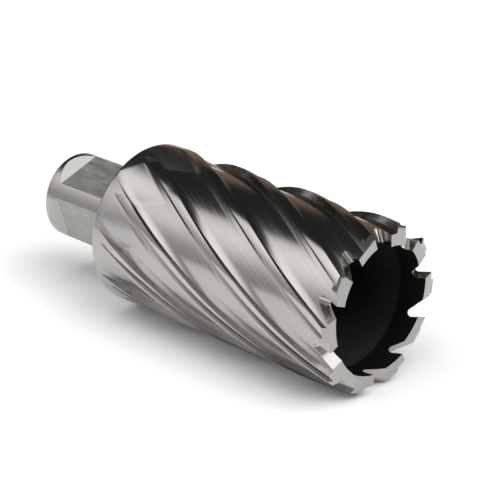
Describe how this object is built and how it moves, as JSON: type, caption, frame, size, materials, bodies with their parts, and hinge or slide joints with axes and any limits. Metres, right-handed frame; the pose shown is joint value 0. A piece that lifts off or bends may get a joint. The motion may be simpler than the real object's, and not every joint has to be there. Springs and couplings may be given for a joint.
{
  "type": "annular cutter",
  "caption": "Hollow fluted hole cutter of ground tool steel, with helical flutes, stepped teeth around an open core and a side-lock shank with a pilot pin hole.",
  "frame": {"origin": "on the cutter's axis, in the plane of the foremost tooth tips", "axes": "+Z along the axis from the teeth to the shank; -Y and -X are the outward directions of the two shank flats"},
  "size_m": [0.035, 0.035, 0.0878],
  "materials": {
    "tool_steel": "ground"
  },
  "bodies": {
    "root": {"annular_cutter": "tool_steel"}
  },
  "joints": []
}
